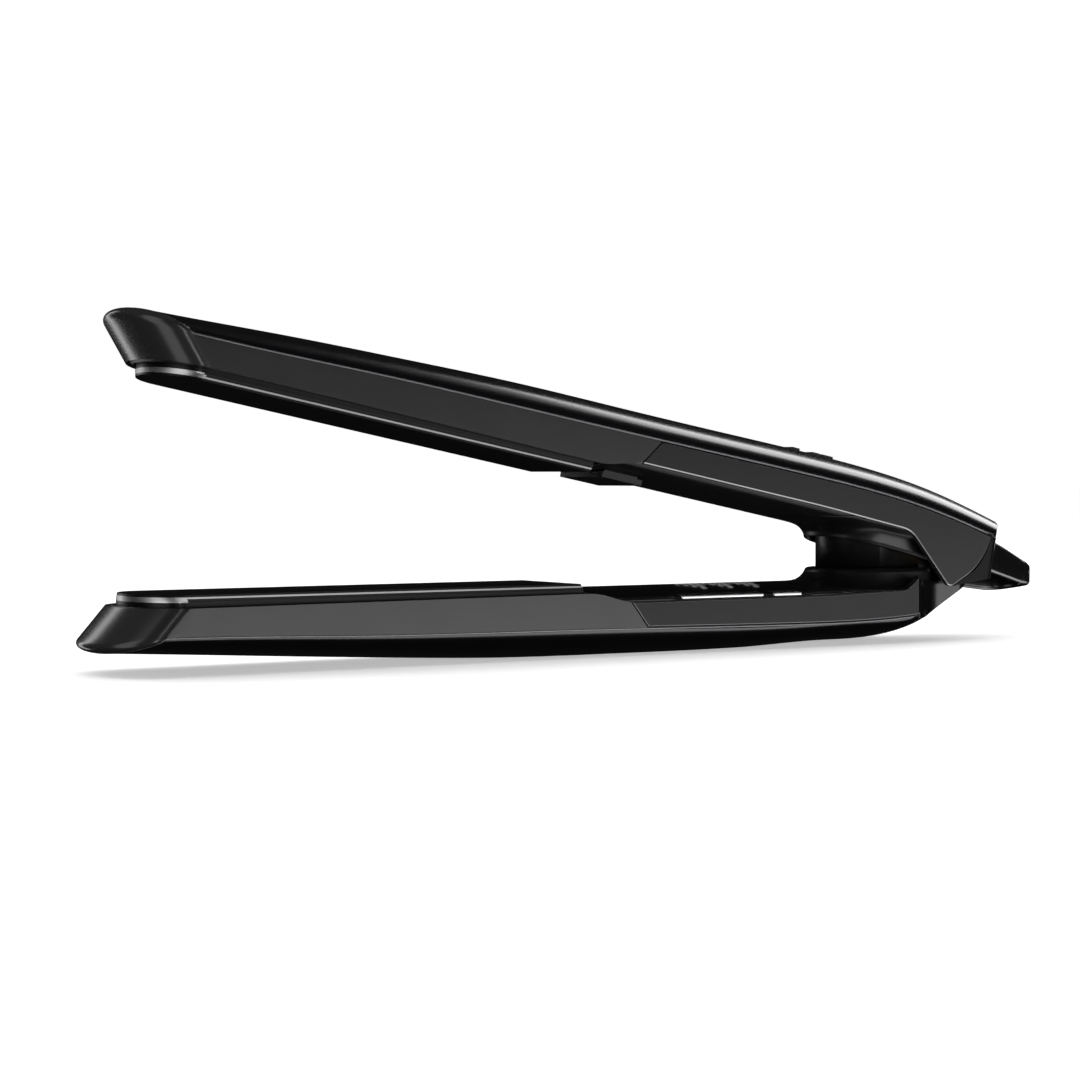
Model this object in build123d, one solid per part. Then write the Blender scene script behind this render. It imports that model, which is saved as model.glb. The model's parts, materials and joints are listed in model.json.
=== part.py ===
from build123d import *
import os
from math import cos, radians, sin

# Hair straightener: two slim arms, hinged near the rear, each with a floating heated plate.
#
# Every arm piece is drawn once in an arm frame and then placed.  In the arm frame a piece is
# given by its reach (mm forward of the line where the two plate planes meet), its Y (mm to the
# side) and its depth (mm outward from the plane where the plates meet).  +X points rearward,
# so reach r sits at X = -r.

# ---------------------------------------------------------------- driving dimensions (mm, deg)
HALF_WIDTH = 16.1          # half the width across the side panels
WALL = 1.4                 # casing wall
GAP = 0.25                 # clearance between casing pieces that slide past each other
OPEN_ANGLE = 10.93         # angle between the arms at rest
REST_REACH = 115.0         # reach of the middle of the flat the iron rests on
BELLY_DEPTH = 17.5         # depth of that flat
LOW_DEPTH = -10.0          # inward limit of the casing blanks

NOSE_CENTRE = 236.0        # reach where the straight sides end, at NOSE_DEPTH
NOSE_LENGTH = 10.3
NOSE_DEPTH = 3.05
NOSE_SLOPE = 0.9           # how far the whole nose moves forward per mm of depth
BLANK_MIDDLE = 150.0       # reach where front and rear plan outlines are joined

HINGE_REACH = 20.0
HINGE_DEPTH = -1.9
PIN_RADIUS = 1.5
PIN_BORE_RADIUS = 1.55
BARREL_RADIUS = 4.5
TONGUE_HALF = 12.0         # half width of the lower arm's tongue between the cheeks
TONGUE_NECK = 24.0         # reach where the tongue has narrowed to that width
TONGUE_CENTRE = 16.0       # reach where the tongue's round end starts
TONGUE_LENGTH = 8.0
REAR_CENTRE = 9.5          # reach where the upper arm's round end starts
REAR_LENGTH = 6.5

PLATE_REAR = 134.7
PLATE_SIDE_END = 235.5
PLATE_FRONT = 244.0
PLATE_HALF = 13.7
PLATE_FACE = 0.3
PLATE_BACK = 2.6
PLATE_CHAMFER_WIDTH = 1.2
PLATE_CHAMFER_DEPTH = 1.3
TRAY_RIM = 2.95
TRAY_FLOOR = 6.5
TRAY_BACK = 8.0
TRAY_REAR = 131.2
HEATER_BACK = 4.6

COVER_EDGE = 4.65          # depth of the inner cover's long edges
COVER_CROWN = 1.7          # depth of its middle line
COVER_HALF = 15.7
COVER_THICK = 1.5
COVER_FRONT = 131.0
COVER_REAR = 26.0
RIM_HALF = HALF_WIDTH - WALL - 0.05

BLOCK_HALF = 10.0          # spring housing
BLOCK_FRONT = 51.0
BLOCK_REAR = 28.0
BLOCK_TOP = -14.5
BLOCK_BASE = 8.0
COLLAR_HALF = 12.4
COLLAR_FRONT = 54.1

SPRING_REACH = 40.0
SPRING_RADIUS = 4.6
SPRING_WIRE = 0.9
SPRING_TURNS = 6

SPLIT_IN = (122.9, COVER_EDGE)   # seam between front and rear side panels: reach, depth
SPLIT_OUT = (118.0, 10.9)
LOWER_PANEL_END = 33.0
STRIPE_WIDTH = 0.45

BUTTON_SPANS = {"temperature_rocker": (82.9, 107.7), "power_button": (71.0, 79.8)}
BUTTON_DEPTHS = (3.6, 4.6)
BUTTON_FACE_Y = -15.75
BUTTON_BACK_Y = -13.3
RECESS_SPAN = (68.0, 109.6)

LOOP_CENTRE = -10.2        # reach of the middle of the loop's round end
LOOP_RADIUS = 8.05
LOOP_ROOT = (6.0, 12.5)    # reach and half width where the loop's legs start
LOOP_BAND = 1.9
LOOP_ROLL = 9.3            # degrees the loop is turned about its long axis
GLAND_RADIUS = 2.9         # bore for the cord
GLAND_OUTER = 3.5
GLAND_TILT = 25.0          # degrees the cord outlet points outward of straight back
GLAND_ORIGIN = (-5.5, 0, 2.7)
PANEL_BEND = 66.0          # reach where the panels' inner edge starts to dip towards the hinge
GRIP_MARKS = ((67.2, 69.5), (60.6, 62.9), (56.2, 59.9))

# Outlines of the arms' backs: reach, depth of the crown line, depth where the flat sides end.
LOWER_CROWN = [(262.0, 12.2, 8.9), (240.0, 13.3, 8.9), (214.0, 14.7, 9.4), (185.0, 16.2, 10.0),
               (155.0, 17.5, 10.4), (130.0, 18.05, 10.7), (105.0, 18.15, 11.0), (80.0, 17.8, 11.3),
               (55.0, 16.9, 11.2), (33.0, 14.8, 9.8), (22.0, 9.6, 5.2), (10.0, 3.1, -0.5),
               (-2.0, -2.0, -5.0)]
UPPER_CROWN = [(262.0, 12.8, 9.0), (240.0, 14.0, 9.0), (214.0, 15.6, 9.5), (185.0, 16.9, 10.1),
               (155.0, 18.0, 10.5), (125.0, 18.3, 10.8), (96.0, 18.6, 11.1), (57.0, 19.0, 11.3),
               (28.0, 17.7, 10.0), (11.0, 15.2, 8.6), (-4.0, 12.0, 7.4), (-12.0, 10.1, 6.8)]
# Line where the side panels meet the domed back.
STRIPE_LINE = [(256.0, 16.6), (250.5, 13.7), (246.0, 11.2), (241.5, 9.3), (236.0, 9.0),
               (222.0, 9.25), (195.0, 10.0), (155.0, 10.5), (118.0, 10.9), (72.0, 11.5),
               (31.0, 10.3), (9.5, 7.5), (-12.0, 9.6)]

FAR = 30.0                 # larger than any depth or half width


# ---------------------------------------------------------------- drawing helpers
def side_points(points):
    return [(-reach, depth) for reach, depth in points]


def side_slab(*edges):
    """Solid whose side view is the closed outline made by the given edges."""
    return extrude(Plane.XZ * make_face(sum(edges[1:], edges[0])), amount=FAR, both=True)


def side_polygon(*points):
    return side_slab(Polyline(*side_points(points), close=True))


def block(reach, y, depth):
    """Box between two reaches, two Y values and two depths."""
    size = [abs(b - a) for a, b in (reach, y, depth)]
    centre = (-sum(reach) / 2, sum(y) / 2, sum(depth) / 2)
    return Pos(*centre) * Box(*size)


def post(reach, y, radius, depths):
    """Cylinder standing along the depth direction."""
    height = abs(depths[1] - depths[0])
    return Pos(-reach, y, sum(depths) / 2) * Cylinder(radius, height)


def cross_pin(reach, depth, radius, y0, y1):
    """Cylinder lying across the arm."""
    return Pos(-reach, (y0 + y1) / 2, depth) * Rot(90, 0, 0) * Cylinder(radius, abs(y1 - y0))


def bullet(front, rear, half, depths):
    """Solid with a flat rear, straight sides and a round front, seen from above."""
    centre = front - half
    outline = Polyline((-centre, half), (-rear, half), (-rear, -half), (-centre, -half))
    outline += CenterArc((-centre, 0), half, 90, 180)
    return Pos(0, 0, min(depths)) * extrude(make_face(outline), amount=abs(depths[1] - depths[0]))


# ---------------------------------------------------------------- casing blanks
def dome(crown, inset):
    """Long arm blank: vertical sides and a half-elliptical back that follows the crown line."""
    half = HALF_WIDTH - inset
    sections = []
    for reach, depth, shoulder in crown:
        low = LOW_DEPTH - 2 * inset
        height = depth - shoulder - inset
        outline = Polyline((-half, shoulder), (-half, low), (half, low), (half, shoulder))
        outline += EllipticalCenterArc((0, shoulder), half, height, 0, arc_size=180)
        plane = Plane(origin=(-reach, 0, 0), x_dir=(0, 1, 0), z_dir=(1, 0, 0))
        sections.append(plane * make_face(outline))
    return loft(sections)


def nose_face(depth, inset):
    half = HALF_WIDTH - inset
    centre = NOSE_CENTRE + NOSE_SLOPE * (depth - NOSE_DEPTH)
    outline = Polyline((-centre, half), (-BLANK_MIDDLE, half), (-BLANK_MIDDLE, -half),
                       (-centre, -half))
    outline += EllipticalCenterArc((-centre, 0), NOSE_LENGTH - inset, half, 90, arc_size=180)
    return Pos(0, 0, depth) * make_face(outline)


def front_plan(inset):
    """Front part of the plan: straight sides and a nose that slants forward with depth."""
    return loft([nose_face(-1.0, inset), nose_face(18.0, inset)], ruled=True)


def rear_plan(edges):
    """Rear part of the plan, with upright walls."""
    return Pos(0, 0, LOW_DEPTH - 4) * extrude(make_face(edges), amount=FAR + 6)


def upper_rear_edges(inset):
    half = HALF_WIDTH - inset
    edges = Polyline((-REAR_CENTRE, half), (-BLANK_MIDDLE, half), (-BLANK_MIDDLE, -half),
                     (-REAR_CENTRE, -half))
    edges += EllipticalCenterArc((-REAR_CENTRE, 0), REAR_LENGTH - inset, half, -90, arc_size=180)
    return edges


def lower_rear_edges(inset):
    half = HALF_WIDTH - inset
    tongue = TONGUE_HALF - inset
    wide_end = -LOWER_PANEL_END
    edges = Polyline((wide_end, half), (-BLANK_MIDDLE, half), (-BLANK_MIDDLE, -half),
                     (wide_end, -half))
    for side in (1, -1):
        edges += Spline((wide_end, side * half), (-TONGUE_NECK, side * tongue),
                        tangents=[(1, 0), (1, 0)])
        edges += Line((-TONGUE_NECK, side * tongue), (-TONGUE_CENTRE, side * tongue))
    edges += EllipticalCenterArc((-TONGUE_CENTRE, 0), TONGUE_LENGTH - inset, tongue, -90,
                                 arc_size=180)
    return edges


def tip_limit(inset):
    """Everything behind the rounded outer corner of the nose."""
    face_end = (252.9 - inset, 10.4)
    crown_end = (249.6 - inset, 13.7 - inset)
    arc = ThreePointArc(*side_points([face_end, (252.4 - inset, 12.5 - inset), crown_end]))
    rest = Polyline(*side_points([crown_end, (240, FAR), (-40, FAR), (-40, -FAR),
                                  (252.9 - inset, -FAR), face_end]))
    return side_slab(arc, rest)


def blank(crown, rear_edges, inset):
    plan = front_plan(inset) + rear_plan(rear_edges(inset))
    return dome(crown, inset) & plan & tip_limit(inset)


def casing(crown, rear_edges):
    return blank(crown, rear_edges, 0) - blank(crown, rear_edges, WALL)


# ---------------------------------------------------------------- side-view regions of the casing
def stripe_spline(shift):
    return Spline(*side_points([(reach, depth + shift) for reach, depth in STRIPE_LINE]))


def outside_stripe(shift):
    """Everything further out than the stripe line."""
    first, last = STRIPE_LINE[0], STRIPE_LINE[-1]
    closing = [(last[0], last[1] + shift), (last[0], FAR), (first[0], FAR),
               (first[0], first[1] + shift)]
    return side_slab(stripe_spline(shift), Polyline(*side_points(closing)))


def panel_edge():
    """Inner long edge of the side panels, from the tip back to the seam behind the plate."""
    scallop = Spline(*side_points([(134.0, 2.5), (128.0, 3.6), (122.0, COVER_EDGE)]),
                     tangents=[(1, 0), (1, 0)])
    return Line(*side_points([(270.0, 3.05), (134.0, 2.5)])) + scallop


def front_region():
    """Front side panels and the nose."""
    closing = Polyline(*side_points([(122.0, COVER_EDGE), SPLIT_IN, SPLIT_OUT, (116.0, FAR),
                                     (270.0, FAR), (270.0, 3.05)]))
    return side_slab(panel_edge(), closing)


def upper_rear_region():
    """Rear side panels of the upper arm, with the cheeks that reach down over the hinge."""
    return side_polygon(SPLIT_IN, (PANEL_BEND, COVER_EDGE), (37.3, 4.0), (22.2, -7.6),
                        (21.0, -7.6), (13.8, -2.1), (10.9, 2.9), (9.0, 9.0), (9.0, FAR),
                        (116.0, FAR), SPLIT_OUT)


def lower_rear_region():
    """Rear side panels of the lower arm, which rise at their rear end."""
    return side_polygon(SPLIT_IN, (PANEL_BEND, COVER_EDGE), (37.2, 3.9), (LOWER_PANEL_END, 0.3),
                        (LOWER_PANEL_END + 0.9, FAR), (116.0, FAR), SPLIT_OUT)


def casing_panels(shell, rear_region, arm):
    """Shell, stripe, front panel and rear panels, cut from one hollow casing."""
    back = shell & outside_stripe(STRIPE_WIDTH)
    inside = shell - outside_stripe(0)
    stripe = (shell & outside_stripe(0)) - outside_stripe(STRIPE_WIDTH)
    sides = inside & rear_region
    near = sides & Pos(0, -FAR / 2, 0) * Box(900, FAR, 4 * FAR)
    far = sides & Pos(0, FAR / 2, 0) * Box(900, FAR, 4 * FAR)
    return {
        arm + "_outer_shell": back,
        arm + "_front_panel": inside & front_region(),
        arm + "_rear_panel_near": near,
        arm + "_rear_panel_far": far,
        arm + "_pinstripe": stripe,
    }


# ---------------------------------------------------------------- heated plate, the same in both arms
def plate_outline(grow):
    half = PLATE_HALF + grow
    rear = PLATE_REAR - grow
    length = PLATE_FRONT - PLATE_SIDE_END + grow
    outline = Polyline((-PLATE_SIDE_END, half), (-rear, half), (-rear, -half),
                       (-PLATE_SIDE_END, -half))
    outline += EllipticalCenterArc((-PLATE_SIDE_END, 0), length, half, 90, arc_size=180)
    return make_face(outline)


def heated_plate():
    body = Pos(0, 0, PLATE_FACE) * extrude(plate_outline(0), amount=PLATE_BACK - PLATE_FACE)
    for side in (1, -1):
        corner = Polyline((side * (PLATE_HALF - PLATE_CHAMFER_WIDTH), PLATE_FACE - 0.01),
                          (side * (PLATE_HALF + 0.1), PLATE_FACE - 0.01),
                          (side * (PLATE_HALF + 0.1), PLATE_FACE + PLATE_CHAMFER_DEPTH),
                          (side * PLATE_HALF, PLATE_FACE + PLATE_CHAMFER_DEPTH), close=True)
        plane = Plane(origin=(-PLATE_SIDE_END - 1, 0, 0), x_dir=(0, 1, 0), z_dir=(1, 0, 0))
        body -= extrude(plane * make_face(corner), amount=PLATE_SIDE_END - PLATE_REAR + 3)
    return body


def plate_tray(inner_blank):
    """Frame that holds the plate: a shallow tray that fills the front of the arm."""
    tray = inner_blank & block((TRAY_REAR, 262), (-FAR, FAR), (TRAY_RIM, TRAY_BACK))
    pocket = Pos(0, 0, TRAY_RIM - 1) * extrude(plate_outline(GAP), amount=TRAY_FLOOR - TRAY_RIM + 1)
    return tray - pocket


def plate_set(arm):
    heater_reach = (140.0, 232.0)
    pads = Part()
    for reach in (150.0, 222.0):
        pads += block((reach - 5, reach + 5), (-7, 7), (HEATER_BACK, TRAY_FLOOR))
    sensor = block((184, 192), (9.2, 11.4), (PLATE_BACK, 3.9))
    clips = Part()
    for reach in (143.0, 186.0, 229.0):
        clips += block((reach - 2, reach + 2), (-12.4, -9.0), (PLATE_BACK, 3.6))
    return {
        arm + "_plate": heated_plate(),
        arm + "_heater": block(heater_reach, (-9, 9), (PLATE_BACK, HEATER_BACK)),
        arm + "_plate_sensor": sensor,
        arm + "_heater_clips": clips,
        arm + "_plate_cushions": pads,
    }


# ---------------------------------------------------------------- inner covers
def cover_blank(front, rear, inset):
    half = COVER_HALF - inset
    height = COVER_EDGE - COVER_CROWN - inset
    outline = Line((half, COVER_EDGE), (-half, COVER_EDGE))
    outline += EllipticalCenterArc((0, COVER_EDGE), half, height, 180, arc_size=180)
    plane = Plane(origin=(-front, 0, 0), x_dir=(0, 1, 0), z_dir=(1, 0, 0))
    return extrude(plane * make_face(outline), amount=front - rear)


def inner_cover(rear, rear_region, collar, hole):
    """Handle cover: shallow dome towards the other arm, with a collar round the spring housing.

    Where the side panels reach further in than its edge, the cover stays inside their walls."""
    skin = cover_blank(COVER_FRONT, rear, 0)
    skin -= cover_blank(COVER_FRONT + 1, rear - 1, COVER_THICK)
    cover = skin + collar
    for side in (1, -1):
        y = sorted((side * RIM_HALF, side * FAR))
        outside = block((-60, 300), y, (-FAR, FAR))
        cover -= (front_region() + rear_region) & outside
        y = sorted((side * 12.9, side * (RIM_HALF - 0.05)))
        cover += block((COVER_REAR + 12, COVER_FRONT - 3), y, (COVER_EDGE - 0.9, 7.0))
    return cover - hole


# ---------------------------------------------------------------- lower arm
def lower_hinge_block():
    """Spring housing and hinge barrel in one moulding, fixed in the lower arm."""
    body = bullet(BLOCK_FRONT, BLOCK_REAR, BLOCK_HALF, (BLOCK_TOP, BLOCK_BASE))
    body += cross_pin(HINGE_REACH, HINGE_DEPTH, BARREL_RADIUS, -BLOCK_HALF, BLOCK_HALF)
    foot = side_polygon((BLOCK_REAR, -6.4), (HINGE_REACH, -6.4), (HINGE_REACH, 0), (19.5, 4.0),
                        (24.0, 5.6), (BLOCK_REAR, 6.0))
    body += foot & block((10, 40), (-BLOCK_HALF, BLOCK_HALF), (-9, 9))
    body -= cross_pin(HINGE_REACH, HINGE_DEPTH, 2.5, -BLOCK_HALF - 1, BLOCK_HALF + 1)
    body -= post(SPRING_REACH, 0, SPRING_RADIUS + 1.2, (BLOCK_TOP - 1, 5.0))
    return body


def hinge_bushes():
    pair = Part()
    for side in (1, -1):
        inner, outer = side * 5.0, side * BLOCK_HALF
        flange = side * (BLOCK_HALF + 1.2)
        bush = cross_pin(HINGE_REACH, HINGE_DEPTH, 2.45, inner, outer)
        bush += cross_pin(HINGE_REACH, HINGE_DEPTH, 3.8, outer, flange)
        pair += bush - cross_pin(HINGE_REACH, HINGE_DEPTH, PIN_BORE_RADIUS, -15, 15)
    return pair


def coil_spring(low, high):
    """Compression spring standing along the depth direction."""
    height = abs(high - low) - SPRING_WIRE * 2
    path = Helix(pitch=height / SPRING_TURNS, height=height, radius=SPRING_RADIUS)
    profile = Plane(origin=path @ 0, z_dir=path % 0) * Circle(SPRING_WIRE)
    return Pos(-SPRING_REACH, 0, min(low, high) + SPRING_WIRE) * sweep(profile, path=path)


def cover_surface(y):
    """Depth of the handle cover's outer face."""
    return COVER_EDGE - (COVER_EDGE - COVER_CROWN) * (1 - (y / COVER_HALF) ** 2) ** 0.5


def grille_slots():
    """Ion outlet: three groups of short slots in staggered rows, as reach and Y pairs."""
    places = []
    for group in range(3):
        for row, count in enumerate((4, 3, 2, 1)):
            for index in range(count):
                reach = 99.6 - group * 8.0 - row * 0.95 - index * 1.9
                places.append((reach, -0.2 - row * 2.5))
    return places


def grille_dots(half_reach, half_y, sunk, base):
    """Small blocks in the outlet's places, from sunk below the cover's face down to base."""
    dots = Part()
    for reach, y in grille_slots():
        depths = (cover_surface(y) + sunk, base)
        dots += block((reach - half_reach, reach + half_reach), (y - half_y, y + half_y), depths)
    return dots


def button_set():
    parts = {}
    centre = sum(BUTTON_DEPTHS) / 2
    for name, span in BUTTON_SPANS.items():
        cap = block(span, (BUTTON_FACE_Y, BUTTON_BACK_Y), BUTTON_DEPTHS)
        cap = fillet(cap.edges().filter_by(Axis.Y), 0.45)
        parts[name] = cap
    bezel = cover_blank(RECESS_SPAN[1], RECESS_SPAN[0], 0)
    bezel &= block(RECESS_SPAN, (-FAR, BUTTON_BACK_Y - 0.3), (3.2, COVER_EDGE - 0.02))
    for span in BUTTON_SPANS.values():
        hole_span = (span[0] - GAP, span[1] + GAP)
        bezel -= block(hole_span, (-FAR, 0), (BUTTON_DEPTHS[0] - GAP, FAR))
    parts["button_bezel"] = bezel
    switches = Part()
    for span in BUTTON_SPANS.values():
        middle = sum(span) / 2
        switches += block((middle - 2.6, middle + 2.6), (-12.3, -8.6), (centre + 0.1, 6.6))
    parts["button_switches"] = switches
    return parts


def lower_arm():
    shell = casing(LOWER_CROWN, lower_rear_edges)
    land = block((-60, 300), (-FAR, FAR), (BELLY_DEPTH, FAR))
    tongue_top = side_polygon((LOWER_PANEL_END, 1.2), (24, 2.4), (8, 0.6), (-20, 0.6),
                              (-20, -FAR), (LOWER_PANEL_END, -FAR))
    tongue = (shell - outside_stripe(0)) & block((-20, LOWER_PANEL_END), (-FAR, FAR), (-FAR, FAR))
    parts = casing_panels(shell, lower_rear_region(), "lower")
    back = parts["lower_outer_shell"] + (tongue - tongue_top)
    stripe = parts["lower_pinstripe"] & block((LOWER_PANEL_END, 300), (-FAR, FAR), (-FAR, FAR))
    rear_stripe = parts["lower_pinstripe"] - stripe
    parts["lower_outer_shell"] = back + rear_stripe - land
    parts["lower_pinstripe"] = stripe
    cavity = blank(LOWER_CROWN, lower_rear_edges, WALL)
    parts["lower_plate_tray"] = plate_tray(cavity)
    hole = bullet(BLOCK_FRONT + 0.1, COVER_REAR - 2, BLOCK_HALF + 0.1, (-20, 20))
    hole += block((RECESS_SPAN[0], RECESS_SPAN[1]), (-FAR, BUTTON_BACK_Y - 0.3), (3.2, COVER_EDGE))
    for span in BUTTON_SPANS.values():
        hole += block((span[0] - GAP, span[1] + GAP), (-FAR, BUTTON_BACK_Y + 1.0),
                      (BUTTON_DEPTHS[0] - GAP, COVER_EDGE))
    hole += grille_dots(0.62, 0.75, -1.0, 4.6)
    skin_rear = LOWER_PANEL_END + 1.2
    collar = bullet(COLLAR_FRONT, skin_rear, COLLAR_HALF, (-1.4, 3.0))
    collar += bullet(COLLAR_FRONT, COVER_REAR, COLLAR_HALF, (-1.4, 1.0))
    parts["lower_inner_cover"] = inner_cover(skin_rear, lower_rear_region(), collar, hole)
    parts["hinge_block"] = lower_hinge_block()
    parts["hinge_bushes"] = hinge_bushes()
    parts["hinge_spring"] = coil_spring(5.0, -19.4)
    board = block((64, 126), (-10.5, 10.5), (9.0, 10.4))
    for reach, width, length in ((74, 9, 11), (92, 12, 12), (112, 8, 10)):
        board += block((reach - length / 2, reach + length / 2), (-width / 2, width / 2), (7.2, 9.0))
    parts["control_board"] = board
    ioniser = block((82, 98), (-6.5, 6.5), (4.6, 6.8))
    parts["ioniser_module"] = ioniser
    grille = block((76.5, 102.0), (-8.5, 0.6), (3.6, 4.5))
    parts["ion_grille"] = grille + grille_dots(0.5, 0.62, 0.36, 3.7)
    screws = Part()
    for reach, y in ((68, 7.5), (120, -7.5)):
        screws += post(reach, y, 1.0, (8.2, 13.0)) + post(reach, y, 2.0, (7.6, 9.0))
        parts["control_board"] -= post(reach, y, 1.05, (6, 12))
        seat = (post(reach, y, 2.6, (10.4, 20)) - post(reach, y, 1.0, (9, 13.0))) & cavity
        parts["lower_outer_shell"] += seat
    parts["board_screws"] = screws
    parts.update(button_set())
    return parts


# ---------------------------------------------------------------- upper arm
def hinge_bracket():
    """Steel fork in the upper arm: two lugs on the pin and a web above the barrel."""
    bracket = Part()
    for side in (1, -1):
        inner, outer = side * (TONGUE_HALF + 0.3), side * 14.6
        y = (min(inner, outer), max(inner, outer))
        lug = cross_pin(HINGE_REACH, HINGE_DEPTH, BARREL_RADIUS, *y)
        lug += block((HINGE_REACH - 4.5, HINGE_REACH + 4.5), y, (HINGE_DEPTH, 9.0))
        bracket += lug
    bracket += block((HINGE_REACH - 6.0, HINGE_REACH + 4.0), (-13.0, 13.0), (7.6, 9.0))
    return bracket - cross_pin(HINGE_REACH, HINGE_DEPTH, PIN_RADIUS, -20, 20)


def hanging_loop(outside):
    """Band bent into a tapering U behind the arm, rooted on its rear wall."""
    reach, root_half = LOOP_ROOT

    def plan(inset):
        half = LOOP_RADIUS - inset
        root = root_half - inset
        outline = Polyline((-LOOP_CENTRE, half), (-reach, root), (-reach, -root),
                           (-LOOP_CENTRE, -half))
        outline += CenterArc((-LOOP_CENTRE, 0), half, -90, 180)
        return Pos(0, 0, -10) * extrude(make_face(outline), amount=20)

    side = side_polygon((8, 5.4), (1.5, 5.15), (-6, 4.2), (-12, 3.4), (-15.5, 2.65), (-18.4, 1.9),
                        (-18.4, -1.7), (-15.5, -2.4), (-12, -2.9), (-6, -3.1), (8, -3.1))
    return Rot(-LOOP_ROLL, 0, 0) * ((plan(0) - plan(LOOP_BAND)) & side) - outside


def gland_placement():
    """Cord outlet: origin on the rear wall, Z along the way the cord leaves."""
    return Pos(*GLAND_ORIGIN) * Rot(0, 90 - GLAND_TILT, 0)


def upper_arm():
    solid = blank(UPPER_CROWN, upper_rear_edges, 0)
    cavity = blank(UPPER_CROWN, upper_rear_edges, WALL)
    shell = solid - cavity
    parts = casing_panels(shell, upper_rear_region(), "upper")
    rear_wall = side_polygon((9.0, 9.0), (10.9, 2.9), (13.8, -2.1), (21.0, -7.6), (12.0, -4.6),
                             (2.0, -1.4), (-8.0, -0.4), (-8.0, FAR), (9.0, FAR))
    gland_hole = gland_placement() * Cylinder(GLAND_OUTER + 0.05, 24)
    trim = (shell - outside_stripe(0)) & rear_wall
    parts["upper_rear_trim"] = trim - gland_hole
    sleeve = Cylinder(GLAND_OUTER, 7.0) - Cylinder(GLAND_RADIUS, 8.0)
    parts["cord_gland"] = gland_placement() * sleeve
    parts["hanging_loop"] = hanging_loop(solid + gland_hole)
    parts["upper_plate_tray"] = plate_tray(cavity)
    pocket = bullet(BLOCK_FRONT + 3.0, COVER_REAR - 2, BLOCK_HALF + 0.4, (-20, 20))
    collar = bullet(COLLAR_FRONT + 1.2, COVER_REAR, COLLAR_HALF, (-3.0, 3.0))
    collar &= side_polygon((60, -0.7), (COVER_REAR, -1.9), (COVER_REAR, 8), (60, 8))
    bumper = block((117.0, 128.6), (-9.0, 9.0), (0.3, 1.6))
    cover = inner_cover(COVER_REAR, upper_rear_region(), collar, pocket)
    parts["upper_inner_cover"] = cover
    parts["upper_bumper"] = (bumper + block((118, 127.6), (-8.2, 8.2), (1.6, 2.6))) - cover
    parts["hinge_bracket"] = hinge_bracket()
    parts["hinge_pin"] = cross_pin(HINGE_REACH, HINGE_DEPTH, PIN_RADIUS, -14.5, 14.5)
    seat = post(SPRING_REACH, 0, 8.0, (12.6, 14.0)) + post(SPRING_REACH, 0, 2.8, (14.0, 20))
    parts["spring_seat"] = seat & cavity
    marks = Part()
    for span in GRIP_MARKS:
        marks += block(span, (-4.0, 4.0), (18.2, 19.35))
    parts["upper_grip_marks"] = marks - solid
    fuse = Pos(-108, 0, 9.0) * Rot(0, 90, 0) * Cylinder(2.0, 12)
    parts["thermal_fuse"] = fuse
    parts["cord_clamp"] = block((6.8, 12.4), (-7, 7), (9.6, 11.0))
    screws = Part()
    for side in (1, -1):
        screws += post(HINGE_REACH - 4.6, side * 9.0, 1.0, (7.0, 12.0))
        screws += post(HINGE_REACH - 4.6, side * 9.0, 2.0, (6.2, 7.6))
        hole = post(HINGE_REACH - 4.6, side * 9.0, 1.0, (5, 12.0))
        parts["hinge_bracket"] -= hole
        seat = (post(HINGE_REACH - 4.6, side * 9.0, 2.4, (9.0, 22.0)) - hole) & cavity
        parts["upper_outer_shell"] += seat
    parts["bracket_screws"] = screws
    return parts


# ---------------------------------------------------------------- placing and writing
def place_lower(shape):
    return Pos(REST_REACH, 0, BELLY_DEPTH) * mirror(shape, about=Plane.XY)


def place_upper(shape):
    return Pos(REST_REACH, 0, BELLY_DEPTH) * Rot(0, OPEN_ANGLE, 0) * shape


def build_parts():
    lower = lower_arm()
    lower.update(plate_set("lower"))
    upper = upper_arm()
    upper.update(plate_set("upper"))
    placed = {name: place_lower(shape) for name, shape in lower.items()}
    placed.update({name: place_upper(shape) for name, shape in upper.items()})
    return placed


def main():
    os.makedirs("parts", exist_ok=True)
    for name, shape in build_parts().items():
        export_step(shape, f"parts/{name}.step")
    hinge_x = REST_REACH - HINGE_REACH
    hinge_z = BELLY_DEPTH - HINGE_DEPTH
    print("hinge axis at X", hinge_x, "Z", hinge_z)
    print("upper plate travels along", sin(radians(OPEN_ANGLE)), cos(radians(OPEN_ANGLE)))


main()
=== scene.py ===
"""Flat iron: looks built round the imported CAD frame, in metres."""
import json
import math

import bmesh
import bpy
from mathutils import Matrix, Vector


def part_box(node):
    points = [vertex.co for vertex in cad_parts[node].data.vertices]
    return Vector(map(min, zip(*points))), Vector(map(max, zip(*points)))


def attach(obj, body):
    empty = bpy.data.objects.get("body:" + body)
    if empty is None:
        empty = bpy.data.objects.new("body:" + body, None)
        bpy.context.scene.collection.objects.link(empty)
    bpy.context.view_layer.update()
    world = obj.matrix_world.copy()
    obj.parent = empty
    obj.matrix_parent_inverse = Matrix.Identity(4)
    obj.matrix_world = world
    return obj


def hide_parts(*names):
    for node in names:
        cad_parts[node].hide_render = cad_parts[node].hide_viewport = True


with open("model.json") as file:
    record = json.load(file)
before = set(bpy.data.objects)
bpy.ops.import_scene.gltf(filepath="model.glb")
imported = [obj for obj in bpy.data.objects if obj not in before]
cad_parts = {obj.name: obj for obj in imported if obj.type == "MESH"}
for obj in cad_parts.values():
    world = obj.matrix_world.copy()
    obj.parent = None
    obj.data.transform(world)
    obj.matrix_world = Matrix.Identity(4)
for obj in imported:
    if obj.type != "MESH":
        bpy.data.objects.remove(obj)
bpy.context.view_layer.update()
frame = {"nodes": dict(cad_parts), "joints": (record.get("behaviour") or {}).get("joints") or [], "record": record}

MM = 0.001

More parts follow.
